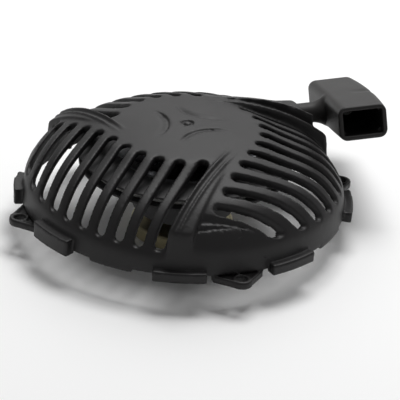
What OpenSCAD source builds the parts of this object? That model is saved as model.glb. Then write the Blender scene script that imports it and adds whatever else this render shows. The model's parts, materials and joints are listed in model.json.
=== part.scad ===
// Recoil starter for a small engine.
// Z is the crank axis, up and away from the engine. Z = 0 is the face that bolts down.
// The pull rope leaves the housing to the right, and the grip hangs on its end.

/* [Housing] */
// Outside radius of the skirt
skirt_r = 95; // [95:1:100]
// Thickness of the moulded wall
wall = 2.8; // [2.2:0.1:3.4]
// Height of the crown over the mounting face
crown_z = 53.7; // [50:0.1:58]
// Height of the skirt's lower edge over the mounting face
skirt_z = 4; // [3:0.5:6]
// Height of the shoulder where an arm meets the skirt
arm_edge_z = 29.4; // [27:0.2:31]
// Height of the shoulder at the first slot of a panel
panel_edge_z = 19.8; // [18:0.2:21]
// Fall of a panel from its first slot to its last, in degrees
panel_tilt = 2; // [1:0.1:3]
// Direction of the slots of the first panel, in degrees
panel_turn = 4.4; // [0:0.1:9]
// Radius of the plain cap in the middle
cap_r = 45.4; // [40:0.2:50]

/* [Vents] */
// Width of a slot
slot_w = 6; // [4.8:0.1:7.2]
// Distance from slot to slot
slot_pitch = 11.7; // [10.6:0.1:14]
// Distance of the step beside an arm from the crank axis
riser_y = 33.6; // [30:0.2:36]
// Height of the raised lip on an arm's edge
lip_h = 1.1; // [0.6:0.1:1.6]

/* [Mounting] */
// Diameter of the circle of mounting holes
ear_pcd = 200; // [198:1:204]
// Diameter of a mounting hole
ear_hole_d = 6.5; // [5.5:0.1:7.4]
// Thickness of an ear
ear_t = 4.5; // [3.5:0.1:5.5]
// Radius of an ear's tip
ear_r = 6.2; // [5.6:0.1:7]
// Height of the ledges beside the ears
ledge_h = 8; // [6.6:0.1:9.6]
// Width of an ear where it meets the skirt
ear_w = 30; // [24:0.5:34]

/* [Rope and grip] */
// Diameter of the pull rope
rope_d = 4.2; // [3.5:0.1:4.4]
// Turns of rope on the pulley
rope_turns = 5; // [4:1:5]
// Height of the rope over the mounting face
rope_z = 31.6; // [31:0.1:32.4]
// Distance from the crank axis to where the grip's neck seats in the boss
mouth_r = 87.6; // [86.5:0.1:89]
// Angle of that point round the crank axis, in degrees
mouth_turn = 46.1; // [45:0.1:47]
// Direction in which the rope is pulled, in degrees
pull_turn = 11; // [9:0.5:13]
// Rise of the rope as it leaves, in degrees
pull_pitch = 5.8; // [3:0.2:8]
// Length of the grip
grip_l = 98; // [82:1:118]
// Width of the grip, from finger side to palm side
grip_w = 29; // [26:0.2:35]
// Height of the grip
grip_h = 20.4; // [18.5:0.1:24.5]
// Wall of the grip
grip_wall = 2.9; // [2.4:0.1:3.5]
// Diameter of the grip's neck
neck_d = 12.4; // [11:0.1:12.6]
// Length of the neck
neck_l = 20.7; // [18:0.1:24]
// Turn of the grip about its neck, in degrees
grip_roll = -15.6; // [-40:0.2:40]

/* [Pulley] */
// Radius of the pulley's rim
rim_r = 62.5; // [61.5:0.1:64]
// Diameter of the sleeve that the pulley turns on
sleeve_d = 16; // [13.5:0.1:17]
// Wall of that sleeve
sleeve_wall = 1; // [0.8:0.1:1.4]
// Width of the rewind spring's strip
spring_w = 14; // [11.5:0.1:15]
// Thickness of the rewind spring's strip
spring_t = 0.6; // [0.4:0.05:0.8]
// Turns of the rewind spring
spring_turns = 8; // [5:1:9]

/* [Drive pawls] */
// Distance of a pawl's pivot from the crank axis
pawl_pivot_r = 17; // [16.5:0.1:18.5]
// Diameter of a pawl's pivot pin
pawl_pin_d = 5; // [4.2:0.1:6]
// Height of a pawl
pawl_h = 8; // [6.7:0.1:9.6]
// Swing of a pawl, in degrees
pawl_swing = 35; // [30:1:38]
// Turn of the friction plate that swings the pawls out, in degrees
plate_slip = 28; // [24:1:32]
// Diameter of the centre screw
screw_d = 6; // [5:0.1:6.4]

/* [Hidden] */

$fn = 64;
cut = 1;
run_gap = 0.05;
loose_gap = 0.4;
part_gap = 0.3;

// Crown of the housing: even powers of the radius, so it is level in the middle and steep at the edge.
skirt_draft = 2.2;
shoulder_r = skirt_r - skirt_draft;
crown_fall = 11.2;
panel_rise = 4.6;
panel_belly = 21.7;
panel_hump = 24.7;
tilt_y = -72;
tilt_z = 34;
panel_t = [0, 0.15, 0.28, 0.4, 0.47, 0.55, 0.65, 0.74, 0.82, 0.88, 0.92, 0.96, 1];
profile_t = [0, 0.2, 0.35, 0.5, 0.6, 0.7, 0.78, 0.85, 0.9, 0.94, 0.97, 1];
panel_dirs = [for (k = [0:2]) panel_turn + 120 * k];

// Where the straight edge of the slots leaves the cap, and how it leans across them.
band_start = -24;
band_lean = 24.3;
slot_end_r = shoulder_r - 0.8;
slot_floor_z = skirt_z + 10;
last_slot_y = riser_y - slot_w / 2 - 2.1;
first_slot_y = 18.2 - skirt_r;
slot_ys = [for (y = [last_slot_y:-slot_pitch:first_slot_y - 0.6]) y];
lip_w = 3.4;

// Ears and the ledges on both sides of each.
ear_turn = 21;
ear_rim = 1.8;
ear_pocket = 1.2;
ledge_out = 5;
ledge_t = 2.2;
ledge_low_z = 1.8;
ledge_spans = [[-29.5, -11.5], [11.5, 29]];
tall_ear = 2;
tall_step = 3.5;
lip_span = [34, 48];
lip_drop = 1.7;

// Rope: it winds flat on itself, so each turn lies one diameter outside the last.
coil_r = rim_r - 2;
coil_in_r = coil_r - rope_turns * rope_d;
run_r = coil_r - rope_d / 2 + part_gap;
run_start = sqrt(pow(coil_r + part_gap, 2) - pow(run_r - rope_d / 2, 2)) + 0.2;
mouth = mouth_r * [cos(mouth_turn), sin(mouth_turn)];
eyelet_l = 10;
eyelet_wall = 2.1;
eyelet_bore_r = rope_d / 2 + 0.8;
eyelet_r = eyelet_bore_r + eyelet_wall;
eyelet_flange = 1.5;
eyelet_flange_r = eyelet_r + 1.5;
eyelet_reach = eyelet_l + part_gap;
mouth_z = rope_z + eyelet_reach * sin(pull_pitch);
run_end = mouth - eyelet_reach * cos(pull_pitch) * [cos(pull_turn), sin(pull_turn)];
run_end_r = norm(run_end);
run_turn = atan2(run_end.y, run_end.x) - asin(run_r / run_end_r);
run_l = run_end_r * cos(asin(run_r / run_end_r)) - part_gap;
boss_r = 8.8;
boss_front_y = riser_y + 7.4;
boss_start_x = 14;
boss_top_z = crown_z - 2.4;
boss_slope = 14;
boss_fall = 24;
boss_face_turn = 35;
boss_face_d = 88.6;
boss_low_z = skirt_z + 12;
boss_flare = 7;
boss_flare_z = 31.5;
boss_flare_lean = 30;
boss_l = 44;
boss_back_l = 20;
boss_slope_x = skirt_r * 0.82;
boss_slope_drop = 9.6;
boss_foot_in = 1.5;
channel_w = 11;
channel_l = 30;

// Pulley levels, from the groove down.
groove_w = rope_d + 0.6;
flange_t = 1.2;
flange_draft = 0.5;
groove_lo_z = rope_z - groove_w / 2;
groove_hi_z = rope_z + groove_w / 2;
pulley_top_z = groove_hi_z + flange_t;
root_r = coil_in_r - 0.1;
well_wall = 5.5;
well_r = root_r - well_wall;
cup_t = 1;
cup_r = well_r - part_gap;
well_z = pulley_top_z - spring_w - cup_t - 1.8;
drum_r = 30;
drum_wall = 2.5;
pulley_floor_t = 3;
bore_r = sleeve_d / 2 + run_gap;
hub_r = 11.5;
web_z = 1.4;
pawl_gap = 0.4;
pawl_top_z = web_z - pawl_gap;
pawl_low_z = pawl_top_z - pawl_h;
hub_low_z = pawl_low_z - 0.6;
cover_t = 1.2;
cover_screw_d = 3;
cover_screw_r = well_r + well_wall / 2;
knot_r = 4.2;
knot_turn = 250;
knot_z = groove_lo_z - flange_t - knot_r - 1;
knot_cup_r = knot_r + 2;
spring_in_r = sleeve_d / 2 + 1.5;
spring_out_r = cup_r - cup_t - spring_t - part_gap;
spring_pitch = (spring_out_r - spring_in_r) / spring_turns;
spring_z = well_z + cup_t + 0.3;

// Clutch under the pulley.
plate_t = 1.2;
plate_top_z = hub_low_z - part_gap;
plate_low_z = plate_top_z - plate_t;
plate_r = drum_r;
plate_rim = 6.3;
cone_t = 0.8;
washer_t = 1.2;
sleeve_low_z = plate_low_z - 1;
washer_r = 12;
head_h = 3.8;
head_r = 6.5;
post_r = sleeve_d / 2 - sleeve_wall;
insert_r = screw_d / 2 + 1.5;
insert_l = 18;
sleeve_top_z = well_z - 0.6;
post_low_z = sleeve_low_z + 0.6;
pawl_eye_r = pawl_pin_d / 2 + 2.5;
pawl_l = 15;
pawl_w = 7;
pawl_rest = -100;
peg_at = 8;
peg_r = 1.5;
peg_gap = 0.75;
gusset_r = 30;
gusset_t = 2.4;
gusset_z = pulley_top_z + cover_t + 5;

// Grip.
grip_round = 4.2;
palm_crown = 1.8;
side_crown = 0.6;
inner_boss_l = 5.5;
inner_boss_r = 6;
flare_l = 4;
flare_r = neck_d / 2 + 3;
seat_gap = 0.3;
neck_end = seat_gap + neck_l;
knot_washer_t = 1.2;

housing_black = [0.10, 0.10, 0.11];
grip_black = [0.17, 0.16, 0.16];
steel = [0.62, 0.62, 0.64];
zinc_yellow = [0.78, 0.70, 0.35];
rope_grey = [0.70, 0.70, 0.68];

function arm_z(t) =
    crown_z - crown_fall * pow(t, 2) - (crown_z - crown_fall - arm_edge_z) * pow(t, 4);
function panel_z(t) =
    panel_edge_z + panel_rise * (1 - pow(t, 2)) + panel_belly * (1 - pow(t, 8))
    + panel_hump * pow(1 - pow(t, 2), 4);

// Inner end of the slot at y: on the cap's circle, or on the straight edge of the arm.
function slot_start(y) =
    y > cap_r * sin(band_start)
    ? sqrt(pow(cap_r, 2) - pow(y, 2))
    : cap_r * cos(band_start) + (y - cap_r * sin(band_start)) * tan(band_lean);
function knot_place() = neck_end + grip_wall + inner_boss_l + knot_washer_t + knot_r;
function slot_stop(y) = sqrt(pow(slot_end_r - slot_w / 2, 2) - pow(y, 2));

// Place of a pawl's peg seen from the friction plate, when the plate has slipped by share s.
function peg_seen(s) =
    let (
        swing = pawl_rest + pawl_swing * s,
        p = [pawl_pivot_r + peg_at * cos(swing), peg_at * sin(swing)],
        back = -plate_slip * s
    )
    [p.x * cos(back) - p.y * sin(back), p.x * sin(back) + p.y * cos(back)];

// Solid under the arms' surface, taken in by d and raised by up.
module arm_dome(d = 0, up = 0) {
    low = skirt_z - (d > 0 ? cut : 0);
    rotate_extrude($fn = 128)
        polygon(concat(
            [[0, low], [skirt_r - d, low]],
            [for (k = [len(profile_t) - 1:-1:0])
                [(shoulder_r - d) * profile_t[k], arm_z(profile_t[k]) - d + up]]
        ));
}

// Solid under a panel's tilted surface, before it is limited to the panel.
module tilted_dome(d = 0) {
    translate([0, tilt_y, tilt_z])
        rotate([-panel_tilt, 0, 0])
            translate([0, -tilt_y, -tilt_z])
                rotate_extrude($fn = 128)
                    polygon(concat(
                        [[0, -60], [skirt_r + 40, -60], [skirt_r + 40, panel_z(1) - d - 8]],
                        [[shoulder_r + 3, panel_z(1) - d - 6]],
                        [for (k = [len(panel_t) - 1:-1:0])
                            [(shoulder_r - d) * panel_t[k], panel_z(panel_t[k]) - d]]
                    ));
}

// What a panel takes off the arms' surface: all that stands over its own tilted surface.
module panel_relief(d = 0) {
    far = skirt_r + 30;
    edge_x = cap_r * cos(band_start);
    edge_y = cap_r * sin(band_start);
    far_x = edge_x + (-far - edge_y) * tan(band_lean);
    difference() {
        linear_extrude(height = crown_z + 20)
            polygon([
                [edge_x - 8, edge_y], [far_x - 8, -far], [far, -far],
                [far, riser_y + d], [22, riser_y + d]
            ]);
        tilted_dome(d);
    }
}

module inner_space() {
    difference() {
        arm_dome(wall);
        for (a = panel_dirs)
            rotate(a) panel_relief(wall);
    }
}

module slot_prism(x0, x1, y, w) {
    translate([x0, y - w / 2]) square([x1 - x0, w]);
    translate([x0, y]) circle(d = w, $fn = 24);
    translate([x1, y]) circle(d = w, $fn = 24);
}

module panel_slots() {
    translate([0, 0, slot_floor_z])
        linear_extrude(height = crown_z)
            for (y = slot_ys)
                slot_prism(slot_start(y), slot_stop(y), y, slot_w);
}

// Raised lip along the arm's edge, beside the neighbouring panel's last slot.
module arm_lip() {
    intersection() {
        arm_dome(0, lip_h);
        translate([cap_r - 16, riser_y, skirt_z + 12])
            cube([skirt_r - cap_r + 10, lip_w, crown_z]);
    }
}

// Plan of an ear: a round tip with sides that widen to the skirt.
module ear_plan(inset) {
    tip_a = 62;
    translate([ear_pcd / 2, 0]) circle(r = ear_r - inset);
    polygon([
        [skirt_r - wall, inset - ear_w / 2],
        [skirt_r - 1, inset - ear_w / 2],
        [ear_pcd / 2 + (ear_r - inset) * cos(tip_a), -(ear_r - inset) * sin(tip_a)],
        [ear_pcd / 2 + (ear_r - inset) * cos(tip_a), (ear_r - inset) * sin(tip_a)],
        [skirt_r - 1, ear_w / 2 - inset],
        [skirt_r - wall, ear_w / 2 - inset]
    ]);
}

module ear() {
    linear_extrude(height = ear_t - ear_pocket) ear_plan(0);
    linear_extrude(height = ear_t)
        difference() {
            ear_plan(0);
            ear_plan(ear_rim);
        }
    translate([ear_pcd / 2, 0, 0]) cylinder(d = ear_hole_d + 2 * ear_rim, h = ear_t);
}

module arc_band(r0, r1, z0, z1, a0, a1) {
    rotate(a0)
        rotate_extrude(angle = a1 - a0, $fn = 128)
            translate([r0, z0]) square([r1 - r0, z1 - z0]);
}

// Ledge: a shelf round the skirt with a lip turned down, closed at both ends.
module ledge(a0, a1, h) {
    in_r = skirt_r - wall * 0.7;
    out_r = skirt_r + ledge_out;
    end_a = 1.6;
    end_in = 0.4;
    arc_band(in_r, out_r, h - ledge_t, h, a0, a1);
    half_in = end_in / 2;
    arc_band(out_r - ledge_t, out_r - part_gap, ledge_low_z, h - ledge_t / 2, a0 + half_in, a1 - half_in);
    for (a = [a0 + end_in, a1 - end_a - end_in])
        arc_band(in_r, out_r - ledge_t / 2, ledge_low_z, h - ledge_t / 2, a, a + end_a);
}

// Boss that carries the rope out: a ridge that grows out of an arm, with a falling top and a round
// back. It ends in a face along the skirt, which flares out to the skirt at its foot.
module boss() {
    difference() {
        union() {
            rotate(panel_turn)
                translate([boss_start_x, boss_front_y, boss_low_z])
                    cube([skirt_r, 2 * boss_r, boss_top_z - boss_low_z]);
            translate([mouth.x, mouth.y, mouth_z])
                rotate([0, 90, pull_turn])
                    translate([0, 0, -boss_l]) cylinder(r = boss_r, h = boss_l + boss_back_l);
            translate([mouth.x, mouth.y, boss_low_z])
                rotate(pull_turn)
                    translate([-boss_l, -2 * boss_r, 0])
                        cube([boss_l + boss_back_l, 3 * boss_r - boss_foot_in, mouth_z - boss_low_z]);
        }
        rotate(panel_turn) {
            translate([boss_start_x - skirt_r, boss_front_y - skirt_r, 0])
                cube([3 * skirt_r, skirt_r, crown_z]);
            translate([0, boss_front_y, boss_top_z])
                rotate([-boss_fall, 0, 0])
                    translate([-skirt_r, 0, 0]) cube([3 * skirt_r, skirt_r, crown_z]);
            translate([boss_slope_x, 0, boss_top_z - boss_slope_drop])
                rotate([0, boss_slope, 0])
                    translate([-skirt_r, 0, 0]) cube([2 * skirt_r, skirt_r, crown_z]);
        }
        rotate(boss_face_turn) {
            translate([boss_face_d + boss_flare, -skirt_r, 0]) cube([skirt_r, 2 * skirt_r, crown_z]);
            translate([boss_face_d, -skirt_r, boss_flare_z]) cube([skirt_r, 2 * skirt_r, crown_z]);
            translate([boss_face_d, -skirt_r, boss_flare_z])
                rotate([0, 90 + boss_flare_lean, 0])
                    translate([-crown_z, 0, 0]) cube([2 * crown_z, 2 * skirt_r, skirt_r]);
        }
    }
}

module at_mouth() {
    translate([mouth.x, mouth.y, mouth_z])
        rotate([0, -pull_pitch, pull_turn])
            rotate([grip_roll, 0, 0])
                children();
}

// A cylinder along the pull direction, from x0 to x1 past the mouth.
module pull_cylinder(r, x0, x1, r_end = -1) {
    at_mouth()
        translate([x0, 0, 0])
            rotate([0, 90, 0])
                cylinder(r1 = r, r2 = r_end < 0 ? r : r_end, h = x1 - x0);
}

module gussets() {
    intersection() {
        arm_dome(wall / 2);
        for (k = [0:5])
            rotate(30 + 60 * k)
                translate([0, -gusset_t / 2, gusset_z])
                    cube([gusset_r, gusset_t, crown_z]);
    }
}

module housing() {
    color(housing_black)
    difference() {
        union() {
            difference() {
                union() {
                    arm_dome();
                    for (a = panel_dirs)
                        rotate(a) arm_lip();
                }
                for (a = panel_dirs)
                    rotate(a) panel_relief();
                inner_space();
                for (a = panel_dirs)
                    rotate(a) panel_slots();
            }
            difference() {
                boss();
                inner_space();
            }
            for (k = [0:3])
                rotate(ear_turn + 90 * k) {
                    ear();
                    for (s = ledge_spans)
                        ledge(s[0], s[1], ledge_h + (k == tall_ear ? tall_step : 0));
                    arc_band(
                        skirt_r - wall, skirt_r, skirt_z - lip_drop, skirt_z + 1, lip_span[0], lip_span[1]
                    );
                }
            translate([0, 0, post_low_z])
                cylinder(r = post_r, h = arm_z(0) - wall / 2 - post_low_z);
            gussets();
        }
        for (k = [0:3])
            rotate(ear_turn + 90 * k)
                translate([ear_pcd / 2, 0, -cut])
                    cylinder(d = ear_hole_d, h = ear_t + 2 * cut);
        pull_cylinder(eyelet_r, -eyelet_l, cut);
        pull_cylinder(eyelet_flange_r + 0.1, -eyelet_flange, 2 * boss_r);
        translate([mouth.x, mouth.y, rope_z])
            rotate([0, 0, (pull_turn + run_turn) / 2])
                translate([-channel_l, -channel_w / 2, -channel_w / 2])
                    cube([channel_l - eyelet_l + 1, channel_w, channel_w]);
        translate([0, 0, post_low_z - cut])
            cylinder(r = insert_r, h = insert_l + cut);
    }
}

module rope_eyelet() {
    color(steel)
    difference() {
        union() {
            pull_cylinder(eyelet_r, -eyelet_l, -eyelet_flange / 2);
            pull_cylinder(eyelet_flange_r, -eyelet_flange, 0);
        }
        pull_cylinder(eyelet_bore_r, -eyelet_l - cut, cut);
    }
}

module post_insert() {
    color(zinc_yellow)
    translate([0, 0, post_low_z])
        difference() {
            cylinder(r = insert_r, h = insert_l);
            translate([0, 0, -cut]) cylinder(d = screw_d, h = insert_l + 2 * cut);
        }
}

module post_sleeve() {
    color(steel)
    translate([0, 0, sleeve_low_z])
        difference() {
            cylinder(d = sleeve_d, h = sleeve_top_z - sleeve_low_z);
            translate([0, 0, -cut]) cylinder(r = post_r, h = sleeve_top_z - sleeve_low_z + 2 * cut);
        }
}

module centre_screw() {
    color(steel)
    translate([0, 0, sleeve_low_z - washer_t]) {
        cylinder(d = screw_d, h = washer_t + insert_l - 2);
        difference() {
            translate([0, 0, -head_h]) cylinder(r = head_r, h = head_h);
            translate([0, 0, -head_h - cut]) cylinder(d = 6.9, h = 2.4 + cut, $fn = 6);
        }
    }
}

module screw_washer() {
    color(steel)
    translate([0, 0, sleeve_low_z - washer_t])
        difference() {
            cylinder(r = washer_r, h = washer_t);
            translate([0, 0, -cut]) cylinder(r = screw_d / 2 + 0.1, h = washer_t + 2 * cut);
        }
}

// Cone washer that presses the friction plate up against the pulley's hub.
module friction_spring() {
    rise = plate_low_z - sleeve_low_z - 0.05;
    color(steel)
    translate([0, 0, sleeve_low_z])
        rotate_extrude()
            polygon([
                [sleeve_d / 2 + 0.2, rise - cone_t / 2], [washer_r - 0.6, 0.02],
                [washer_r - 0.6, cone_t / 2], [sleeve_d / 2 + 0.2, rise]
            ]);
}

module friction_plate() {
    color(zinc_yellow)
    difference() {
        rotate_extrude()
            polygon([
                [bore_r + 0.1, plate_low_z], [plate_r - plate_t - 1, plate_low_z],
                [plate_r - plate_t, plate_low_z - 1], [plate_r - plate_t, plate_low_z - plate_rim],
                [plate_r, plate_low_z - plate_rim], [plate_r, plate_top_z - 1],
                [plate_r - 1, plate_top_z], [bore_r + 0.1, plate_top_z]
            ]);
        for (turn = [0, 180])
            rotate(turn)
                translate([0, 0, plate_low_z - cut])
                    linear_extrude(height = plate_t + 2 * cut)
                        peg_slot(peg_seen(0), peg_seen(1));
    }
}

// Slot with round ends round the straight line from a to b.
module peg_slot(a, b) {
    r = peg_r + peg_gap;
    way = atan2(b.y - a.y, b.x - a.x);
    polygon(concat(
        [for (t = [-90:15:90]) b + r * [cos(way + t), sin(way + t)]],
        [for (t = [90:15:270]) a + r * [cos(way + t), sin(way + t)]]
    ));
}

module pulley() {
    color(steel * 0.5)
    difference() {
        union() {
            rotate_extrude($fn = 128)
                polygon([
                    [bore_r, hub_low_z], [hub_r, hub_low_z], [hub_r, web_z], [drum_r, web_z],
                    [drum_r, well_z - 6], [root_r - 1, well_z - 2], [root_r - 1, groove_lo_z - 4],
                    [root_r + 5, groove_lo_z - flange_t - flange_draft],
                    [rim_r, groove_lo_z - flange_t], [rim_r, groove_lo_z],
                    [root_r, groove_lo_z + flange_draft / 2], [root_r, groove_hi_z - flange_draft / 2],
                    [rim_r, groove_hi_z], [rim_r, pulley_top_z], [well_r, pulley_top_z],
                    [well_r, well_z], [drum_r - drum_wall, well_z],
                    [drum_r - drum_wall, web_z + pulley_floor_t], [hub_r, web_z + pulley_floor_t],
                    [hub_r, well_z - 0.4], [bore_r, well_z - 0.4]
                ]);
            for (k = [0:5])
                rotate(60 * k + 30)
                    translate([hub_r - 0.5, -1, web_z + 1])
                        cube([drum_r - drum_wall - hub_r + 1, 2, well_z - web_z - 1]);
            for (turn = [0, 180])
                rotate(turn)
                    translate([pawl_pivot_r, 0, web_z])
                        cylinder(r = pawl_eye_r, h = 12);
            rotate(knot_turn)
                translate([coil_in_r + rope_d, 0, knot_z - knot_r])
                    cylinder(r = knot_cup_r, h = groove_lo_z - flange_t / 2 - knot_z + knot_r);
        }
        for (turn = [0, 180])
            rotate(turn)
                translate([pawl_pivot_r, 0, web_z - cut])
                    cylinder(d = pawl_pin_d, h = 11 + cut);
        rotate(knot_turn)
            translate([coil_in_r + rope_d, 0, 0]) {
                translate([0, 0, knot_z - knot_r - cut]) cylinder(r = knot_r + 0.3, h = 2 * knot_r + cut);
                translate([0, 0, knot_z]) cylinder(r = rope_d / 2 + 0.2, h = groove_lo_z - knot_z + cut);
            }
        for (k = [0:2])
            rotate(120 * k)
                translate([cover_screw_r, 0, pulley_top_z - 8])
                    cylinder(d = cover_screw_d, h = 8 + cut);
    }
}

module spring_cup() {
    color(steel)
    rotate_extrude()
        polygon([
            [hub_r + 0.5, well_z], [cup_r, well_z], [cup_r, pulley_top_z - part_gap],
            [cup_r - cup_t, pulley_top_z - part_gap], [cup_r - cup_t, well_z + cup_t],
            [hub_r + 0.5, well_z + cup_t]
        ]);
}

// Flat spiral of half circles: each half turn steps its centre and grows by half a pitch.
module rewind_spring() {
    color(steel * 0.7)
    translate([0, 0, spring_z])
        for (k = [0:2 * spring_turns - 1]) {
            r = spring_in_r + spring_pitch / 4 + k * spring_pitch / 2;
            side = k % 2 == 0 ? 1 : -1;
            translate([side * spring_pitch / 4, 0, 0])
                rotate(k % 2 == 0 ? 0 : 180)
                    rotate_extrude(angle = 180)
                        translate([r, 0]) square([spring_t, spring_w]);
        }
}

module spring_cover() {
    color(steel)
    translate([0, 0, pulley_top_z])
        difference() {
            cylinder(r = root_r + 1.5, h = cover_t);
            translate([0, 0, -cut]) cylinder(r = hub_r - 1, h = cover_t + 2 * cut);
            for (k = [0:2])
                rotate(120 * k)
                    translate([cover_screw_r, 0, -cut])
                        cylinder(d = cover_screw_d + 0.2, h = cover_t + 2 * cut);
        }
}

module cover_screws() {
    color(steel)
    for (k = [0:2])
        rotate(120 * k)
            translate([cover_screw_r, 0, pulley_top_z]) {
                translate([0, 0, -7.5]) cylinder(d = cover_screw_d, h = 8 + cover_t);
                translate([0, 0, cover_t]) cylinder(r = 2.8, h = 1.6);
            }
}

module pawl_pins() {
    color(steel)
    for (turn = [0, 180])
        rotate(turn)
            translate([pawl_pivot_r, 0, pawl_low_z + 0.2])
                cylinder(d = pawl_pin_d, h = web_z - pawl_low_z + 10);
}

// Drive pawl: an eye on its pin, a straight arm to a hooked tip, and a peg for the friction plate.
module pawl() {
    translate([pawl_pivot_r, 0, 0])
        rotate(pawl_rest) {
            difference() {
                translate([0, 0, pawl_low_z])
                    linear_extrude(height = pawl_h) {
                        circle(r = pawl_eye_r);
                        polygon([
                            [0, -pawl_w / 2], [pawl_l - 1, -pawl_w / 2 + 1], [pawl_l + 1, -pawl_w / 2 + 3],
                            [pawl_l + 1, pawl_w / 2], [pawl_l - 2, pawl_w / 2], [0, pawl_eye_r]
                        ]);
                    }
                translate([0, 0, pawl_low_z - cut])
                    cylinder(r = pawl_pin_d / 2 + run_gap, h = pawl_h + 2 * cut);
            }
            translate([peg_at, 0, plate_low_z + 0.1])
                cylinder(r = peg_r, h = pawl_low_z - plate_low_z + 1);
        }
}

module pawl_a() {
    color(grip_black) pawl();
}

module pawl_b() {
    color(grip_black) rotate(180) pawl();
}

module rope_wound() {
    color(rope_grey)
    translate([0, 0, rope_z - rope_d / 2])
        difference() {
            cylinder(r = coil_r, h = rope_d, $fn = 128);
            translate([0, 0, -cut]) cylinder(r = coil_in_r, h = rope_d + 2 * cut, $fn = 128);
        }
}

module pulley_knot() {
    color(rope_grey)
    rotate(knot_turn)
        translate([coil_in_r + rope_d, 0, knot_z]) {
            sphere(r = knot_r, $fn = 32);
            cylinder(d = rope_d, h = rope_z - rope_d / 2 - knot_z);
        }
}

module rope_run() {
    color(rope_grey)
    translate([0, 0, rope_z])
        rotate([0, 0, run_turn])
            translate([run_start, run_r, 0])
                rotate([0, 90, 0])
                    cylinder(d = rope_d, h = run_l - run_start);
}

module rope_lead() {
    color(rope_grey)
    pull_cylinder(rope_d / 2, -eyelet_l, knot_place() - knot_r + 0.5);
}

// Outline of the grip across its length, grown by g towards the palm and s at the sides.
module grip_outline(g, s) {
    w = grip_w + g;
    h = grip_h + 2 * s;
    for (x = [grip_round, w - grip_round])
        for (y = [-h / 2 + grip_round, h / 2 - grip_round])
            translate([x, y]) circle(r = grip_round, $fn = 32);
}

module grip_half(turn) {
    hull() {
        rotate([turn, 0, 0])
            rotate([90, 0, 0])
                linear_extrude(height = 0.01) grip_outline(palm_crown, side_crown);
        rotate([turn, 0, 0])
            translate([0, -grip_l / 2 + 1.2, 0])
                rotate([90, 0, 0])
                    linear_extrude(height = 0.01) grip_outline(0, 0);
        rotate([turn, 0, 0])
            translate([0.8, -grip_l / 2, 0])
                rotate([90, 0, 0])
                    linear_extrude(height = 0.01)
                        scale([1 - 1.6 / grip_w, 1 - 1.6 / grip_h]) grip_outline(0, 0);
    }
}

module pull_handle() {
    cave_w = grip_w - 2 * grip_wall;
    cave_h = grip_h - 2 * grip_wall;
    cave_round = grip_round - grip_wall + 0.8;
    color(grip_black)
    difference() {
        union() {
            difference() {
                at_mouth()
                    translate([neck_end, 0, 0]) {
                        grip_half(0);
                        grip_half(180);
                    }
                at_mouth()
                    translate([neck_end + grip_wall, grip_l / 2 - grip_wall, 0])
                        rotate([90, 0, 0])
                            linear_extrude(height = grip_l - grip_wall + cut) {
                                translate([cave_round, -cave_h / 2])
                                    square([cave_w - 2 * cave_round, cave_h]);
                                translate([0, cave_round - cave_h / 2])
                                    square([cave_w, cave_h - 2 * cave_round]);
                                for (x = [cave_round, cave_w - cave_round])
                                    for (y = [cave_round - cave_h / 2, cave_h / 2 - cave_round])
                                        translate([x, y]) circle(r = cave_round, $fn = 24);
                            }
            }
            pull_cylinder(neck_d / 2, seat_gap, neck_end + grip_wall / 2);
            pull_cylinder(neck_d / 2, neck_end - flare_l, neck_end + 0.5, flare_r);
            pull_cylinder(inner_boss_r, neck_end + grip_wall / 2, neck_end + grip_wall + inner_boss_l);
        }
        pull_cylinder(rope_d / 2 + loose_gap, 0, neck_end + grip_wall + inner_boss_l + cut);
    }
}

module knot_washer() {
    x0 = neck_end + grip_wall + inner_boss_l;
    color(steel)
    difference() {
        pull_cylinder(inner_boss_r - 0.5, x0, x0 + knot_washer_t);
        pull_cylinder(rope_d / 2 + 0.1, x0 - cut, x0 + knot_washer_t + cut);
    }
}

module handle_knot() {
    color(rope_grey)
    at_mouth()
        translate([knot_place(), 0, 0]) sphere(r = knot_r, $fn = 32);
}

housing();
rope_eyelet();
post_insert();
post_sleeve();
centre_screw();
screw_washer();
friction_spring();
friction_plate();
pulley();
spring_cup();
rewind_spring();
spring_cover();
cover_screws();
pawl_pins();
pawl_a();
pawl_b();
rope_wound();
pulley_knot();
rope_run();
rope_lead();
pull_handle();
knot_washer();
handle_knot();
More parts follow.
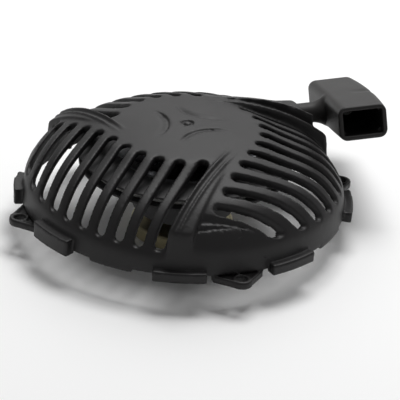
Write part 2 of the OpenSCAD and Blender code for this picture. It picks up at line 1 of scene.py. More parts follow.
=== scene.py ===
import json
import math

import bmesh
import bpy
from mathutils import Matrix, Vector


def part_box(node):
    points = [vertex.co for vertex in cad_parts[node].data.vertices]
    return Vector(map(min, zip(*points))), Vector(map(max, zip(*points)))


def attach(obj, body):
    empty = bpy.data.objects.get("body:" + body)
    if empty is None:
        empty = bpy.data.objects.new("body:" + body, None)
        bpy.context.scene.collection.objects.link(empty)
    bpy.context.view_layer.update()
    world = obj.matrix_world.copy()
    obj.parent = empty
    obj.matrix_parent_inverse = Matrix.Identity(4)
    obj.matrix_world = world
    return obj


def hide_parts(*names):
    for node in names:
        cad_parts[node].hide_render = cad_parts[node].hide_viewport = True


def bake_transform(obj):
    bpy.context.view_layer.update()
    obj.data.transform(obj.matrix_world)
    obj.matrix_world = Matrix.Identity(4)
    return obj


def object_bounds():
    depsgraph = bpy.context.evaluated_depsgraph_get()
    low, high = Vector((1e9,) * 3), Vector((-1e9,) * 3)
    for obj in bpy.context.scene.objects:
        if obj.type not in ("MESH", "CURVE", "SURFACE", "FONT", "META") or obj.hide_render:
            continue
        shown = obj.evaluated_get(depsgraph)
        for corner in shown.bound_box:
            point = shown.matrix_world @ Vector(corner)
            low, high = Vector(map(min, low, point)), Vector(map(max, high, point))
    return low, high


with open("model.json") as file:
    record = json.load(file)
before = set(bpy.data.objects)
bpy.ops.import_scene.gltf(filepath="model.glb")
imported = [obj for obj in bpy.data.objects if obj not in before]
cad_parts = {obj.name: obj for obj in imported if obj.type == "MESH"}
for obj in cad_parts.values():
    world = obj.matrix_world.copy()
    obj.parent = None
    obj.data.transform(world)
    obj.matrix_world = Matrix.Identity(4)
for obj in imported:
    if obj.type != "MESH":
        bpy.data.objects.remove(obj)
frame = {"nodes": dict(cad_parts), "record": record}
cad_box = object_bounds()

# %% [markdown]
# # A recoil starter, step by step
# A recoil starter is the round vented cover on a small engine with a rope inside. Pull the grip and
# the rope turns a pulley, two pawls swing out and drive the crank, and a flat spring winds the rope
# back in. The CAD frame already holds every part at its true size, so this lesson only gives them
# finer shapes and real finishes. Positions come from the frame, in metres, with Z up the crank axis.

MM = 0.001
scene = bpy.context.scene


def as_lists(box):
    return [[float(c) for c in corner] for corner in box]


def new_object(name, mesh):
    thing = bpy.data.objects.new(name, mesh)
    scene.collection.objects.link(thing)
    return thing


def mm(*values):
    return Vector([v * MM for v in values])


print("CAD box, mm:", [[round(c / MM, 1) for c in corner] for corner in as_lists(cad_box)])

# %% [markdown]
# ## Camera first
# The product is seen from a little above, with a long lens so that the round cover stays round.
# The camera comes before the pieces, because everything after it is judged through it. It looks at
# a point just under the crown, then rolls a few degrees about its own axis.

# %% Camera
CAMERA_AT = Vector((0.0099, -1.4139, 0.7340))
LOOK_AT = Vector((0.00986, 0.0, 0.00362))
CAMERA_ROLL = math.radians(3.45)
camera_data = bpy.data.cameras.new("product_camera")
camera_data.lens = 243.1
camera_data.sensor_width = 36.0
camera_data.clip_start = 0.05
camera_data.clip_end = 20.0
camera = bpy.data.objects.new("product_camera", camera_data)
scene.collection.objects.link(camera)
camera.location = CAMERA_AT
facing = (LOOK_AT - CAMERA_AT).to_track_quat("-Z", "Y")
roll = Matrix.Rotation(CAMERA_ROLL, 3, "Z").to_quaternion()
camera.rotation_mode = "QUATERNION"
camera.rotation_quaternion = facing @ roll
scene.camera = camera
print("camera", [round(c, 3) for c in camera.location])

# %% [markdown]
# ## Sizes shared by the steps
# The same few sizes decide the cover, the rope and the grip. They repeat the sizes of the CAD
# source, in millimetres.

# %% Shared sizes, in millimetres
SKIRT_R, SHOULDER_R, SKIRT_Z, WALL = 95.0, 92.8, 4.0, 2.8
CROWN_Z, ARM_EDGE_Z, CAP_R = 53.7, 29.4, 45.4
PANEL_TURN = 4.4
EAR_TURN, EAR_PCD, EAR_HOLE_D = 21.0, 200.0, 6.5
ROPE_D, ROPE_TURNS, ROPE_Z, COIL_R = 4.2, 5, 31.6, 60.5
PULL_TURN, PULL_PITCH, GRIP_ROLL = 11.0, 5.8, -15.6
MOUTH_R, MOUTH_TURN = 87.6, math.radians(46.1)
EYELET_L, PART_GAP = 10.0, 0.3
GRIP_L, GRIP_W, GRIP_H, GRIP_WALL = 98.0, 29.0, 20.4, 2.9
NECK_D, NECK_L, SEAT_GAP = 12.4, 20.7, 0.3

mouth_z = ROPE_Z + (EYELET_L + PART_GAP) * math.sin(math.radians(PULL_PITCH))
mouth = Vector((MOUTH_R * math.cos(MOUTH_TURN), MOUTH_R * math.sin(MOUTH_TURN), mouth_z))
pull_frame = (
    Matrix.Translation(mouth)
    @ Matrix.Rotation(math.radians(PULL_TURN), 4, "Z")
    @ Matrix.Rotation(math.radians(-PULL_PITCH), 4, "Y")
    @ Matrix.Rotation(math.radians(GRIP_ROLL), 4, "X")
)
pull_dir = pull_frame.to_3x3() @ Vector((1, 0, 0))

# %% [markdown]
# ## Numbers that live in a node tree
# The cover has a shape that follows a rule, so Geometry Nodes can make it from a *distance field*:
# at every point in space a tree of math nodes says how far the nearest surface is, negative inside.
# Volume Cube samples the field, and Volume to Mesh draws the skin where it is zero. Corners blend by
# themselves, as they do in an injection mould, and that is hard to get with bevels on a vented dome.
# The little class below lets plain Python arithmetic build those math nodes.

# %% A number in a node tree
class Field:
    def __init__(self, tree, socket):
        self.tree, self.socket = tree, socket

    def op(self, kind, *others):
        node = self.tree.nodes.new("ShaderNodeMath")
        node.operation = kind
        for slot, value in zip(node.inputs, (self, *others)):
            if isinstance(value, Field):
                self.tree.links.new(value.socket, slot)
            else:
                slot.default_value = value
        return Field(self.tree, node.outputs[0])

    def __add__(self, other): return self.op("ADD", other)
    def __sub__(self, other): return self.op("SUBTRACT", other)
    def __mul__(self, other): return self.op("MULTIPLY", other)
    def __truediv__(self, other): return self.op("DIVIDE", other)
    def __neg__(self): return self.op("MULTIPLY", -1.0)
    def __radd__(self, other): return self.op("ADD", other)
    def __rmul__(self, other): return self.op("MULTIPLY", other)
    def __rsub__(self, other): return self.op("MULTIPLY_ADD", -1.0, other)
    def abs(self): return self.op("ABSOLUTE")
    def sqrt(self): return self.op("SQRT")
    def power(self, n): return self.op("POWER", n)
    def above(self, other): return self.op("GREATER_THAN", other)

    def clamp(self, low, high):
        return self.op("MAXIMUM", low).op("MINIMUM", high)


def union(a, b, soft=0.0):
    return a.op("SMOOTH_MIN", b, soft) if soft else a.op("MINIMUM", b)


def common(a, b, soft=0.0):
    return a.op("SMOOTH_MAX", b, soft) if soft else a.op("MAXIMUM", b)


def without(a, b, soft=0.0):
    return common(a, -b, soft)


def all_of(first, *rest):
    for other in rest:
        first = common(first, other)
    return first


def length2(a, b):
    return (a * a + b * b).sqrt()


def turned(x, y, degrees):
    c, s = math.cos(math.radians(degrees)), math.sin(math.radians(degrees))
    return x * c + y * s, y * c - x * s


def bump(distance, half_width):
    share = (distance / half_width).abs().op("MINIMUM", 1.0)
    return (1.0 - share * share).power(2.0)


def between(value, low, high):
    return (value - (low + high) / 2).abs() - (high - low) / 2


# %% A solid drawn from a distance field
def field_solid(name, build, low, high, voxel, inputs, material, flatten=0.0):
    """Meshes build(x, y, z, sizes), a distance in mm, inside the box low..high (mm)."""
    tree = bpy.data.node_groups.new(name + "_shape", "GeometryNodeTree")
    face = tree.interface
    face.new_socket("Geometry", in_out="INPUT", socket_type="NodeSocketGeometry")
    face.new_socket("Geometry", in_out="OUTPUT", socket_type="NodeSocketGeometry")
    for label, value in inputs.items():
        socket = face.new_socket(label, in_out="INPUT", socket_type="NodeSocketFloat")
        socket.default_value = value
    way_in = tree.nodes.new("NodeGroupInput")
    sizes = {label: Field(tree, way_in.outputs[label]) / MM for label in inputs}
    place = tree.nodes.new("GeometryNodeInputPosition")
    split = tree.nodes.new("ShaderNodeSeparateXYZ")
    tree.links.new(place.outputs[0], split.inputs[0])
    x, y, z = (Field(tree, socket) / MM for socket in split.outputs)
    distance = build(x, y, z, sizes)
    density = (0.5 - distance / (4.0 * voxel)).clamp(0.0, 1.0)
    cube = tree.nodes.new("GeometryNodeVolumeCube")
    tree.links.new(density.socket, cube.inputs["Density"])
    cube.inputs["Min"].default_value = mm(*low)
    cube.inputs["Max"].default_value = mm(*high)
    for axis, a, b in zip("XYZ", low, high):
        cube.inputs["Resolution " + axis].default_value = int(round((b - a) / voxel)) + 1
    skin = tree.nodes.new("GeometryNodeVolumeToMesh")
    skin.inputs["Threshold"].default_value = 0.5
    skin.inputs["Adaptivity"].default_value = flatten
    tree.links.new(cube.outputs["Volume"], skin.inputs["Volume"])
    real = tree.nodes.new("GeometryNodeRealizeInstances")
    paint = tree.nodes.new("GeometryNodeSetMaterial")
    paint.inputs["Material"].default_value = material
    out = tree.nodes.new("NodeGroupOutput")
    tree.links.new(skin.outputs["Mesh"], real.inputs[0])
    tree.links.new(real.outputs[0], paint.inputs["Geometry"])
    tree.links.new(paint.outputs[0], out.inputs[0])

    maker = new_object(name + "_maker", bpy.data.meshes.new(name + "_seed"))
    modifier = maker.modifiers.new("shape", "NODES")
    modifier.node_group = tree
    for item in face.items_tree:
        if item.in_out == "INPUT" and item.name in inputs:
            modifier[item.identifier] = inputs[item.name]
    depsgraph = bpy.context.evaluated_depsgraph_get()
    mesh = bpy.data.meshes.new_from_object(maker.evaluated_get(depsgraph))
    bpy.data.objects.remove(maker)
    mesh.name = name
    return mesh


def finish_skin(mesh):
    """Turns the skin's faces outward and shades it smooth."""
    shape = bmesh.new()
    shape.from_mesh(mesh)
    bmesh.ops.remove_doubles(shape, verts=shape.verts, dist=0.02 * MM)
    bmesh.ops.recalc_face_normals(shape, faces=shape.faces)
    shape.to_mesh(mesh)
    shape.free()
    mesh.shade_smooth()
    return mesh


# %% [markdown]
# ## Finishes
# Moulded nylon is never one flat black: it has a fine spark-eroded grain, faint cloudy patches
# where the melt flowed, and slightly polished high spots. The grain and the clouding are used by
# several materials, so each is a node group with named inputs. The groups give only values, and the
# Principled shader stays in the material.

# %% Node groups for grain and clouding
def shader_group(name, inputs, outputs):
    group = bpy.data.node_groups.new(name, "ShaderNodeTree")
    for label, value in inputs.items():
        socket = group.interface.new_socket(label, in_out="INPUT", socket_type="NodeSocketFloat")
        socket.default_value = value
    for label in outputs:
        group.interface.new_socket(label, in_out="OUTPUT", socket_type="NodeSocketFloat")
    return group, group.nodes.new("NodeGroupInput"), group.nodes.new("NodeGroupOutput")


def noise(tree, coordinate, scale, detail=2.0, roughness=0.5):
    node = tree.nodes.new("ShaderNodeTexNoise")
    node.inputs["Detail"].default_value = detail
    node.inputs["Roughness"].default_value = roughness
    tree.links.new(coordinate, node.inputs["Vector"])
    if isinstance(scale, float):
        node.inputs["Scale"].default_value = scale
    else:
        tree.links.new(scale, node.inputs["Scale"])
    return node.outputs["Fac"]


def make_grain_group():
    group, way_in, way_out = shader_group(
        "surface_grain", {"Grain scale": 1800.0, "Cloud scale": 40.0, "Cloud strength": 0.15},
        ("Height", "Tone", "Roughness shift"))
    place = group.nodes.new("ShaderNodeTexCoord").outputs["Object"]
    fine = Field(group, noise(group, place, way_in.outputs["Grain scale"], 3.0, 0.6))
    cloud = Field(group, noise(group, place, way_in.outputs["Cloud scale"], 3.0, 0.55))
    strength = Field(group, way_in.outputs["Cloud strength"])
    tone = (cloud - 0.5) * strength * 2.0 + 1.0 + (fine - 0.5) * 0.16
    group.links.new(fine.socket, way_out.inputs["Height"])
    group.links.new(tone.socket, way_out.inputs["Tone"])
    shift = (cloud - 0.5) * strength + (fine - 0.5) * 0.1
    group.links.new(shift.socket, way_out.inputs["Roughness shift"])
    return group


grain_group = make_grain_group()
print("node group:", grain_group.name)


# %% One recipe for plastics and metals
def finish(name, color, roughness, metallic=0.0, grain=1800.0, grain_depth=0.02, cloud=40.0,
           cloud_strength=0.15, brushed=None, specular=0.5):
    material = bpy.data.materials.new(name)
    material.use_nodes = True
    material.diffuse_color = (*color, 1.0)
    tree = material.node_tree
    shader = tree.nodes["Principled BSDF"]
    shader.inputs["Specular IOR Level"].default_value = specular
    shader.inputs["Metallic"].default_value = metallic
    grain_node = tree.nodes.new("ShaderNodeGroup")
    grain_node.node_tree = grain_group
    grain_node.inputs["Grain scale"].default_value = grain
    grain_node.inputs["Cloud scale"].default_value = cloud
    grain_node.inputs["Cloud strength"].default_value = cloud_strength
    tone = tree.nodes.new("ShaderNodeVectorMath")
    tone.operation = "SCALE"
    tone.inputs[0].default_value = color
    tree.links.new(grain_node.outputs["Tone"], tone.inputs["Scale"])
    tree.links.new(tone.outputs[0], shader.inputs["Base Color"])
    rough = (Field(tree, grain_node.outputs["Roughness shift"]) + roughness).clamp(0.05, 1.0)
    tree.links.new(rough.socket, shader.inputs["Roughness"])
    height = Field(tree, grain_node.outputs["Height"])
    if brushed:
        stretch = tree.nodes.new("ShaderNodeMapping")
        stretch.inputs["Scale"].default_value = brushed
        place = tree.nodes.new("ShaderNodeTexCoord").outputs["Object"]
        tree.links.new(place, stretch.inputs["Vector"])
        height = height * 0.4 + Field(tree, noise(tree, stretch.outputs[0], 60.0, 4.0, 0.7))
    relief = tree.nodes.new("ShaderNodeBump")
    relief.inputs["Strength"].default_value = 0.6
    relief.inputs["Distance"].default_value = grain_depth * MM
    tree.links.new(height.socket, relief.inputs["Height"])
    tree.links.new(relief.outputs["Normal"], shader.inputs["Normal"])
    return material


finishes = {
    "housing_plastic": finish("nylon_charcoal", (0.0105, 0.0098, 0.0102), 0.48, grain=1300.0,
                              grain_depth=0.15, cloud=26.0, cloud_strength=0.16, specular=0.3),
    "grip_plastic": finish("grip_black", (0.013, 0.0118, 0.0115), 0.52, grain=2000.0, grain_depth=0.07,
                           cloud=30.0, cloud_strength=0.12, specular=0.32),
    "pulley_plastic": finish("pulley_nylon", (0.042, 0.041, 0.042), 0.55, grain=1300.0, grain_depth=0.06),
    "plated_steel": finish("zinc_plate", (0.62, 0.63, 0.65), 0.28, 1.0, 900.0, 0.01, 60.0, 0.2),
    "yellow_zinc": finish("yellow_zinc", (0.52, 0.47, 0.30), 0.42, 1.0, 700.0, 0.01, 90.0, 0.4),
    "spring_steel": finish("blued_spring", (0.16, 0.18, 0.24), 0.26, 1.0, 700.0, 0.01, 50.0, 0.3,
                           brushed=(1.0, 1.0, 22.0)),
    "pawl_steel": finish("sintered_pawl", (0.23, 0.23, 0.24), 0.48, 1.0, 1600.0, 0.06, 50.0, 0.2),
}
print("finishes:", ", ".join(finishes))

# %% [markdown]
# The rope is a braid: two sets of yarn cross in spirals round a core. Its pattern has to follow the
# rope, so it reads the rope's own UV map, with U once round and V in rope diameters along it.
# Two crossed sine waves make the yarns, and the higher of the two is the one on top. Where the yarns are
# low, the colour is darkened as painted shade in the grooves.

# %% Braided rope finish
def rope_finish(name, color):
    material = bpy.data.materials.new(name)
    material.use_nodes = True
    material.diffuse_color = (*color, 1.0)
    tree = material.node_tree
    shader = tree.nodes["Principled BSDF"]
    shader.inputs["Roughness"].default_value = 0.8
    shader.inputs["Sheen Weight"].default_value = 0.25
    uv = tree.nodes.new("ShaderNodeUVMap")
    uv.uv_map = "rope"
    split = tree.nodes.new("ShaderNodeSeparateXYZ")
    tree.links.new(uv.outputs[0], split.inputs[0])
    around, along = Field(tree, split.outputs[0]), Field(tree, split.outputs[1])
    yarns, tau = 8.0, 2.0 * math.pi
    left = ((around * yarns + along * 2.4) * tau).op("SINE")
    right = ((around * yarns - along * 2.4) * tau).op("SINE")
    height = left.op("MAXIMUM", right) * 0.5 + 0.5
    tone = tree.nodes.new("ShaderNodeVectorMath")
    tone.operation = "SCALE"
    tone.inputs[0].default_value = color
    # Painted shade: the base colour darkens where the yarn height is low, in the grooves between the
    # yarns.
    tree.links.new((height * 0.45 + 0.62).socket, tone.inputs["Scale"])
    tree.links.new(tone.outputs[0], shader.inputs["Base Color"])
    relief = tree.nodes.new("ShaderNodeBump")
    relief.inputs["Strength"].default_value = 0.8
    relief.inputs["Distance"].default_value = 0.3 * MM
    tree.links.new(height.socket, relief.inputs["Height"])
    tree.links.new(relief.outputs["Normal"], shader.inputs["Normal"])
    return material


finishes["rope_braid"] = rope_finish("polyester_braid", (0.58, 0.58, 0.56))

# %% [markdown]
# Every CAD node starts with the finish of its material slot. Most of them keep their CAD shape,
# because turned and stamped parts are already exact there.

# %% Paint the CAD nodes
for row in frame["record"]["subparts"]:
    part = frame["nodes"][row["node"]]
    part.data.materials.clear()
    part.data.materials.append(finishes[row["material_slot"]])

# %% [markdown]
# ## The vented cover
# The cover is one moulding. Three arms sweep out from a plain cap, and between them lie three
# panels of slots, each a little lower than the arms, like the blades of a pinwheel. The rule is the
# same three times over, so the field for one panel is written once and turned by 120 degrees.
# Heights are even powers of the radius: level in the middle and steep at the edge.

# %% Crown heights and the beads on the arms
TILT = math.tan(math.radians(2.0))
CROWN_FALL = 11.2
EDGE_FALL = CROWN_Z - CROWN_FALL - ARM_EDGE_Z
# Place across the arm, half width and height of each bead
BEADS = ((35.1, 1.6, 1.8), (39.2, 1.3, 1.1))


def arm_height(r, crown):
    """Height of the arms' surface at r, and how much longer its slope is than its plan."""
    t2 = (r / SHOULDER_R).op("MINIMUM", 1.06).power(2.0)
    height = crown - (CROWN_FALL * t2) - (EDGE_FALL * t2 * t2)
    slope = ((2 * CROWN_FALL + 4 * EDGE_FALL * t2) / SHOULDER_R) * (r / SHOULDER_R)
    return height, (slope * slope + 1.0).sqrt()


def bead_height(x, y):
    """Two raised beads beside each riser, fading in from the cap."""
    total = None
    for k in range(3):
        u, v = turned(x, y, PANEL_TURN + 120 * k)
        fade = ((u - 10.0) / 20.0).clamp(0.0, 1.0)
        for place, half_width, height in BEADS:
            bead = bump(v - place, half_width) * height * fade
            total = bead if total is None else total + bead
    return total


def cap_marks(x, y, r):
    """A small ring in the middle and three shallow crescents round it, pressed into the cap."""
    marks = bump(r - 2.8, 1.2) * 1.7
    for k in range(3):
        a = math.radians(-55 + 120 * k)
        away = length2(x - 34.6 * math.cos(a), y - 34.6 * math.sin(a))
        near = 1.0 - ((r - 17.0) / 9.0).clamp(0.0, 1.0)
        inside = ((24.3 - away) / 4.5).clamp(0.0, 1.0)
        edge = (inside * 6.0).clamp(0.0, 1.0) * (1.0 - inside)
        marks = marks + edge * near * 1.8
    return marks


# %% One panel: its surface, its region and its slots
SLOT_YS_LAST, SLOTS, SLOT_LOW_Z = 28.5, 10, 20.3
BAND_Y, BAND_X, BAND_LEAN = -18.47, 41.47, math.radians(24.3)
SLOT_EDGE, RISER_Y, RIB_DEPTH = 1.0, 33.6, 4.4


def panel_relief(u, v, z, r, riser):
    """What a panel takes off the arms: all that stands above its own surface, inside its edges."""
    t = (r / SHOULDER_R).op("MINIMUM", 1.05)
    t2 = t * t
    t8 = t2.power(4.0)
    hump = (1.0 - t2).op("MAXIMUM", 0.0)
    height = 46.1 - (4.6 * t2) - (21.7 * t8) + 24.7 * hump.power(4.0) - (v + 72.0) * TILT
    slope = (9.2 * t + 173.6 * t2.power(3.5) + 197.6 * hump.power(3.0) * t) / SHOULDER_R
    above = (z - height) / (slope * slope + 1.0).sqrt()
    near = -((u - BAND_X + 8.0) * 0.9765 + (v - BAND_Y) * 0.2155)
    far = -((u - BAND_X + 8.0) * math.cos(BAND_LEAN) - (v - BAND_Y) * math.sin(BAND_LEAN))
    region = common(v - riser, union(near, far))
    return common(region, -above, 2.2)


def panel_slots(u, v, z, width, pitch):
    index = ((SLOT_YS_LAST - v) / pitch + 0.5).op("FLOOR").clamp(0.0, SLOTS - 1.0)
    centre = SLOT_YS_LAST - index * pitch
    beyond = centre.above(BAND_Y)
    on_cap = (CAP_R ** 2 - centre * centre).op("MAXIMUM", 0.0).sqrt()
    on_band = (centre - BAND_Y) * math.tan(BAND_LEAN) + BAND_X
    start = on_cap * beyond + on_band * (1.0 - beyond)
    low_end = SLOT_LOW_Z - (centre + 72.0) * TILT
    inward = (start - u).op("MAXIMUM", 0.0)
    below = (low_end + width / 2.0 - z).op("MAXIMUM", 0.0)
    return (inward * inward + below * below + (v - centre) * (v - centre)).sqrt() - width / 2.0


def blind_pocket(u, v):
    """The three-cornered pocket in the foot of each arm, with a thin rib along it."""
    sides = all_of(1.0 - u, v + 80.8, u * 0.18 - v - 88.5)
    depth = (-sides).clamp(0.0, 1.0) * 2.2
    rib = bump(v + 85.2 - u * 0.09, 1.1) * 1.5
    return (depth - rib).op("MAXIMUM", 0.0)


# %% [markdown]
# The boss leads the rope out of the cover. It grows out of one arm, with a flat front, a roof that
# falls to a rounded back, and an end face that slants across the pull and flares out at its foot.
# Its own frame runs along the pull. A steel eyelet sits in it so that the rope doesn't saw the nylon.

# %% Rope boss and eyelet seat
BOSS_R, BOSS_FRONT_Y, BOSS_TOP_Z, BOSS_LOW_Z = 8.8, 41.0, 51.3, 16.0
BOSS_FALL = math.radians(24.0)
BOSS_FACE_TURN, BOSS_FACE_D, BOSS_FLARE_Z = 35.0, 88.6, 31.5


def pull_coords(x, y, z):
    along, across = turned(x - mouth.x, y - mouth.y, PULL_TURN)
    return along, across, z - mouth.z


def boss_solid(x, y, z):
    """A block under a falling roof, a level half round behind it, and one slanted end face."""
    along, across, up = pull_coords(x, y, z)
    u, v = turned(x, y, PANEL_TURN)
    beyond = (u - 36.0).op("MAXIMUM", 0.0)
    roof = BOSS_TOP_Z - beyond * beyond * 0.0058 - (v - BOSS_FRONT_Y) * math.tan(BOSS_FALL)
    above_roof = (z - roof) * math.cos(BOSS_FALL)
    block = all_of(BOSS_FRONT_Y - v, v - BOSS_FRONT_Y - 2 * BOSS_R, above_roof, 14.0 - u)
    level = length2(across, up) - BOSS_R
    foot = all_of(across - 7.3, -2 * BOSS_R - across, up)
    behind = common(union(level, foot, 1.0), -44.0 - along)
    below = (BOSS_FLARE_Z - z).clamp(0.0, 16.0)
    face = turned(x, y, BOSS_FACE_TURN)[0] - BOSS_FACE_D - below * below * 0.036
    body = common(union(block, behind, 3.0), BOSS_FRONT_Y - v, 0.8)
    return common(common(body, face, 0.9), BOSS_LOW_Z - z)


def rope_passage(x, y, z):
    along, across, up = pull_coords(x, y, z)
    p_along, p_up = turned(along, up, PULL_PITCH)
    axis = length2(across, p_up)
    seat = common(axis - 5.0, -11.0 - p_along)
    recess = common(axis - 6.6, -1.6 - p_along)
    inner = all_of(length2(across, up + 1.0) - 5.6, -30.0 - along, along + 9.0)
    return union(union(seat, recess), inner, 0.5)


# %% [markdown]
# Round the foot of the skirt stand four screw ears, each between two ledges. The pattern repeats
# every quarter turn, so the angle is folded into one quarter and the field is written once. The two
# ledges at one ear are taller than the rest.

# %% Ears and ledges
def ears_and_ledges(z, r, angle):
    from_ear = angle - EAR_TURN + 405.0
    folded = (from_ear / 90.0).op("FRACT") * 90.0 - 45.0
    radians = folded * (math.pi / 180.0)
    u, v = r * radians.op("COSINE"), r * radians.op("SINE")
    tip = length2(u - EAR_PCD / 2, v) - 6.2
    side = (u - 94.0) * 0.730 + (v.abs() - 15.0) * 0.683
    plan = union(all_of(side, v.abs() - 15.0, u - 102.9), tip)
    hole = length2(u - EAR_PCD / 2, v)
    ear = all_of(plan, z - 4.5, -z, 92.2 - r)
    pocket = all_of(plan + 1.8, 3.3 - z, 5.05 - hole, 93.0 - r)
    ear = without(without(ear, pocket, 0.5), hole - EAR_HOLE_D / 2)

    tall = 1.0 - ((angle - (EAR_TURN - 180.0)).abs() / 45.0).op("MINIMUM", 1.0).op("FLOOR")
    top = 8.0 + tall * 3.5
    sweep = ((folded.abs() - 20.4).abs() - 8.9) * (math.pi / 180.0) * r
    inner_sweep = sweep + 2.7
    shelf = all_of(r - 100.0, 92.9 - r, sweep, z - top, top - 2.2 - z)
    lip = all_of(r - 99.8, 97.8 - r, sweep, z - top, 1.8 - z)
    walls = all_of(r - 98.9, 92.9 - r, sweep, -inner_sweep, z - top, 1.8 - z)
    ledge = union(union(shelf, lip, 0.6), walls, 0.6)
    skirt_lip = all_of(r - 95.0, 92.2 - r, ((folded.abs() - 41.0).abs() - 4.0) * (math.pi / 180.0) * r,
                       2.3 - z, z - 5.0)
    return union(union(ear, ledge), skirt_lip)


# %% Post and gussets inside
def post_and_gussets(z, r, angle, post_low):
    post = all_of(r - 7.0, z - 52.0, post_low - z)
    insert = common(r - 4.5, z - (post_low + 18.0))
    fold = ((angle + 390.0) / 60.0).op("FRACT") * 60.0 - 30.0
    plate = all_of((fold * (math.pi / 180.0)).op("SINE").abs() * r - 1.2, r - 30.0, 42.0 - z, z - 52.0)
    return without(union(post, plate, 1.0), insert)


# %% The whole cover as one field
def housing_field(x, y, z, sizes):
    post_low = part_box("post_insert")[0][2] / MM
    r = length2(x, y)
    angle = y.op("ARCTAN2", x) * (180.0 / math.pi)
    crown, steep = arm_height(r, sizes["Crown height"])
    surface = crown + bead_height(x, y) - cap_marks(x, y, r)
    side = r - (SKIRT_R - (z - SKIRT_Z) * ((SKIRT_R - SHOULDER_R) / (ARM_EDGE_Z - SKIRT_Z)))
    plain = common((z - crown) / steep, side, 3.0)
    outer = common((z - surface) / steep, side, 2.2)
    for k in range(3):
        u, v = turned(x, y, PANEL_TURN + 120 * k)
        relief = panel_relief(u, v, z + blind_pocket(u, v), r, RISER_Y)
        inner_relief = panel_relief(u, v, z + (RIB_DEPTH - WALL), r, RISER_Y + WALL * 0.6)
        these = panel_slots(u, v, z, sizes["Slot width"], sizes["Slot pitch"])
        reliefs = relief if k == 0 else union(reliefs, relief)
        inner_reliefs = inner_relief if k == 0 else union(inner_reliefs, inner_relief)
        slots = these if k == 0 else union(slots, these)
    outer = without(outer, reliefs, 1.4)
    plain = without(plain, inner_reliefs, 1.4)
    cavity = plain + sizes["Wall"]
    shell = all_of(without(outer, cavity, 0.6), SKIRT_Z - z)
    shell = without(shell, slots, SLOT_EDGE)
    boss = without(boss_solid(x, y, z), cavity)
    shell = union(shell, boss, 3.0)
    shell = union(shell, ears_and_ledges(z, r, angle), 0.8)
    inside = common(post_and_gussets(z, r, angle, post_low), plain + 1.0)
    shell = union(shell, inside, 1.5)
    return without(shell, rope_passage(x, y, z), 0.5)


HOUSING_VOXEL = 0.84
housing_low, housing_high = (-108, -108, -18), (108, 108, 57)
housing_mesh = field_solid(
    "starter_housing", housing_field, housing_low, housing_high, HOUSING_VOXEL,
    {"Crown height": CROWN_Z * MM, "Wall": WALL * MM, "Slot width": 6.0 * MM, "Slot pitch": 11.7 * MM},
    finishes["housing_plastic"], flatten=0.02)
finish_skin(housing_mesh)
housing = new_object("starter_housing", housing_mesh)
print("cover:", len(housing_mesh.polygons), "faces")
housing_mesh.calc_loop_triangles()
print("cover triangles:", len(housing_mesh.loop_triangles))
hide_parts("housing")
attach(housing, "housing")

# %% [markdown]
# ## The grip
# The T grip is a hollow moulding with thick soft corners, a crowned palm side with a shallow crease
# across it, and a neck that swells into the finger side. It is open at both ends, so the knot's
# tube can be seen inside. The same field method gives those swelling corners.

# %% Grip
def grip_field(x, y, z, sizes):
    half = sizes["Length"] / 2.0
    share = (y / half).abs().op("MINIMUM", 1.2)
    crown = 1.0 - share * share
    x0 = SEAT_GAP + NECK_L
    wide = sizes["Width"] / 2.0 + crown * 0.9
    tall = sizes["Height"] / 2.0 + crown * 0.6
    cx = x - x0 - wide
    corner = 5.0
    bx = (cx.abs() - wide + corner)
    bz = (z.abs() - tall + corner)
    outside = length2(bx.op("MAXIMUM", 0.0), bz.op("MAXIMUM", 0.0))
    section = outside + common(bx, bz).op("MINIMUM", 0.0) - corner
    body = common(section, y.abs() - half, 1.8)
    crease = bump(y + 4.0 + (z * 0.12), 7.0) * 0.55 * ((cx / 8.0).clamp(0.0, 1.0))
    body = body + crease
    about = length2(y, z)
    flare = ((x - x0 + 8.0) / 8.0).clamp(0.0, 1.0)
    neck = common(about - NECK_D / 2 - flare * flare * 2.6, between(x, SEAT_GAP, x0 + 3.0), 0.8)
    body = union(body, neck, 2.5)
    hx = ((x - x0 - wide).abs() - wide + GRIP_WALL)
    hz = (z.abs() - tall + GRIP_WALL)
    hollow = common(common(hx, hz, 1.8), y - half + GRIP_WALL)
    steps = union(hx + 2.6, hz + 2.6)
    stepped = common(hollow, union(steps, half - 7.0 - y.abs()))
    hollow = union(stepped, hollow + 1.3)
    body = without(body, hollow, 0.9)
    tube = common(length2(y, z) - 6.0, between(x, x0, x0 + GRIP_WALL + 5.5), 0.5)
    body = union(body, tube, 0.8)
    return without(body, length2(y, z) - 2.5)


grip_mesh = field_solid(
    "pull_grip", grip_field, (-2, -52, -15), (56, 52, 15), 0.6,
    {"Length": GRIP_L * MM, "Width": GRIP_W * MM, "Height": GRIP_H * MM}, finishes["grip_plastic"])
finish_skin(grip_mesh)
metres = Matrix.Scale(MM, 4)
grip_mesh.transform(metres @ pull_frame @ metres.inverted())
grip = new_object("pull_grip", grip_mesh)
print("grip:", len(grip_mesh.polygons), "faces")
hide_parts("pull_handle")
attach(grip, "handle")
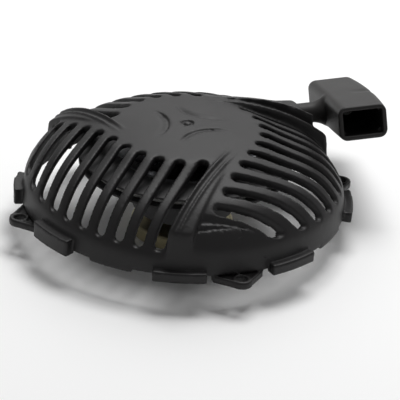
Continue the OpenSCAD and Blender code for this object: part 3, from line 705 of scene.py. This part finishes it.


# %% [markdown]
# ## The rope
# The rope lies flat on itself on the pulley, then runs straight out through the eyelet to the knot
# in the grip. The coil is a spiral tube; the run is one straight tube from the coil to the knot.

# %% A tube along a path, with a rope UV map
def tube(name, path, radius, sides):
    points = [Vector(p) for p in path]
    rings, distance, uvs = [], 0.0, []
    side = None
    for i, point in enumerate(points):
        ahead = points[min(i + 1, len(points) - 1)] - points[max(i - 1, 0)]
        ahead.normalize()
        side = ahead.cross(Vector((0, 0, 1))).normalized() if abs(ahead.z) < 0.9 else Vector((1, 0, 0))
        up = side.cross(ahead)
        if i:
            distance += (point - points[i - 1]).length
        ring = []
        for k in range(sides):
            a = 2 * math.pi * k / sides
            ring.append(point + radius * (math.cos(a) * side + math.sin(a) * up))
        rings.append(ring)
        uvs.append(distance / (2 * radius))
    shape = bmesh.new()
    layer = shape.loops.layers.uv.new("rope")
    verts = [[shape.verts.new(p) for p in ring] for ring in rings]
    for i in range(len(verts) - 1):
        for k in range(sides):
            j = (k + 1) % sides
            face = shape.faces.new((verts[i][k], verts[i][j], verts[i + 1][j], verts[i + 1][k]))
            face.smooth = True
            corner_uvs = ((k, i), (k + 1, i), (k + 1, i + 1), (k, i + 1))
            for loop, (across, row) in zip(face.loops, corner_uvs):
                loop[layer].uv = (across / sides, uvs[row])
    shape.faces.new(verts[0])
    shape.faces.new(list(reversed(verts[-1])))
    bmesh.ops.recalc_face_normals(shape, faces=shape.faces)
    mesh = bpy.data.meshes.new(name)
    shape.to_mesh(mesh)
    shape.free()
    mesh.materials.append(finishes["rope_braid"])
    return new_object(name, mesh)


# %% The coil and the run
run_r = COIL_R - ROPE_D / 2
inlet = mouth - pull_dir * (EYELET_L + PART_GAP)
reach = math.hypot(inlet.x, inlet.y)
run_turn = math.atan2(inlet.y, inlet.x) - math.asin(run_r / reach)
tangent_at = run_turn + math.pi / 2

coil_path = []
steps_per_turn = 60
for i in range(ROPE_TURNS * steps_per_turn + 1):
    turns = i / steps_per_turn
    r = run_r - ROPE_D * turns * (ROPE_TURNS - 1) / ROPE_TURNS
    a = tangent_at + 2 * math.pi * turns
    coil_path.append(mm(r * math.cos(a), r * math.sin(a), ROPE_Z))
coil = tube("wound_rope", coil_path, ROPE_D / 2 * MM * 0.99, 8)
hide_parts("rope_wound")
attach(coil, "pulley")

tangent = Vector((run_r * math.cos(tangent_at), run_r * math.sin(tangent_at), ROPE_Z))
knot_at = pull_frame @ Vector((SEAT_GAP + NECK_L + GRIP_WALL + 5.5 + 1.2 + 4.2, 0, 0))
run_path = [tangent.lerp(inlet, i / 16) for i in range(17)]
run_path += [inlet.lerp(mouth, i / 4) for i in range(1, 5)]
run_path += [mouth.lerp(knot_at, i / 30) for i in range(1, 31)]
run = tube("rope_run_out", [p * MM for p in run_path], ROPE_D / 2 * MM, 12)
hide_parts("rope_run", "rope_lead")
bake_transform(run)
print("rope wound: %.2f m" % sum((b - a).length for a, b in zip(coil_path, coil_path[1:])))

# %% [markdown]
# ## Studio
# A plain pale floor and soft light from above, with the brightest softbox behind the part, as its
# shadow falls towards the front. A dim white world keeps the inside of the cover dark, as little
# light reaches it. The Standard view keeps white as white and black as black, where the usual view
# would turn a nearly black plastic into a mid grey.

# %% Floor, lights and world
floor_z = cad_box[0][2] - 0.3 * MM
floor_mesh = bpy.data.meshes.new("studio_floor")
floor_corners = [(-6, -6, floor_z), (6, -6, floor_z), (6, 6, floor_z), (-6, 6, floor_z)]
floor_mesh.from_pydata(floor_corners, [], [(0, 1, 2, 3)])
floor = new_object("studio_floor", floor_mesh)
floor_finish = bpy.data.materials.new("studio_white")
floor_finish.use_nodes = True
floor_shader = floor_finish.node_tree.nodes["Principled BSDF"]
floor_shader.inputs["Base Color"].default_value = (0.93, 0.93, 0.93, 1.0)
floor_shader.inputs["Roughness"].default_value = 0.9
floor_mesh.materials.append(floor_finish)


def softbox(name, at, aim, size, watts):
    data = bpy.data.lights.new(name, "AREA")
    data.shape = "RECTANGLE"
    data.size, data.size_y = size
    data.energy = watts
    light = bpy.data.objects.new(name, data)
    scene.collection.objects.link(light)
    light.location = at
    light.rotation_mode = "QUATERNION"
    light.rotation_quaternion = (Vector(aim) - Vector(at)).to_track_quat("-Z", "Y")
    return light


softbox("top_softbox", (0.20, 0.50, 1.45), (0, 0, 0.03), (0.9, 0.7), 19.0)
softbox("back_wall", (0.3, 2.0, 1.3), (0, 0, 0.05), (3.0, 1.6), 20.0)

world = bpy.data.worlds.new("studio_world")
world.use_nodes = True
world.node_tree.nodes["Background"].inputs["Color"].default_value = (1.0, 1.0, 1.0, 1.0)
world.node_tree.nodes["Background"].inputs["Strength"].default_value = 0.26
scene.world = world
scene.view_settings.view_transform = "Standard"
print("floor at %.1f mm" % (floor_z / MM))
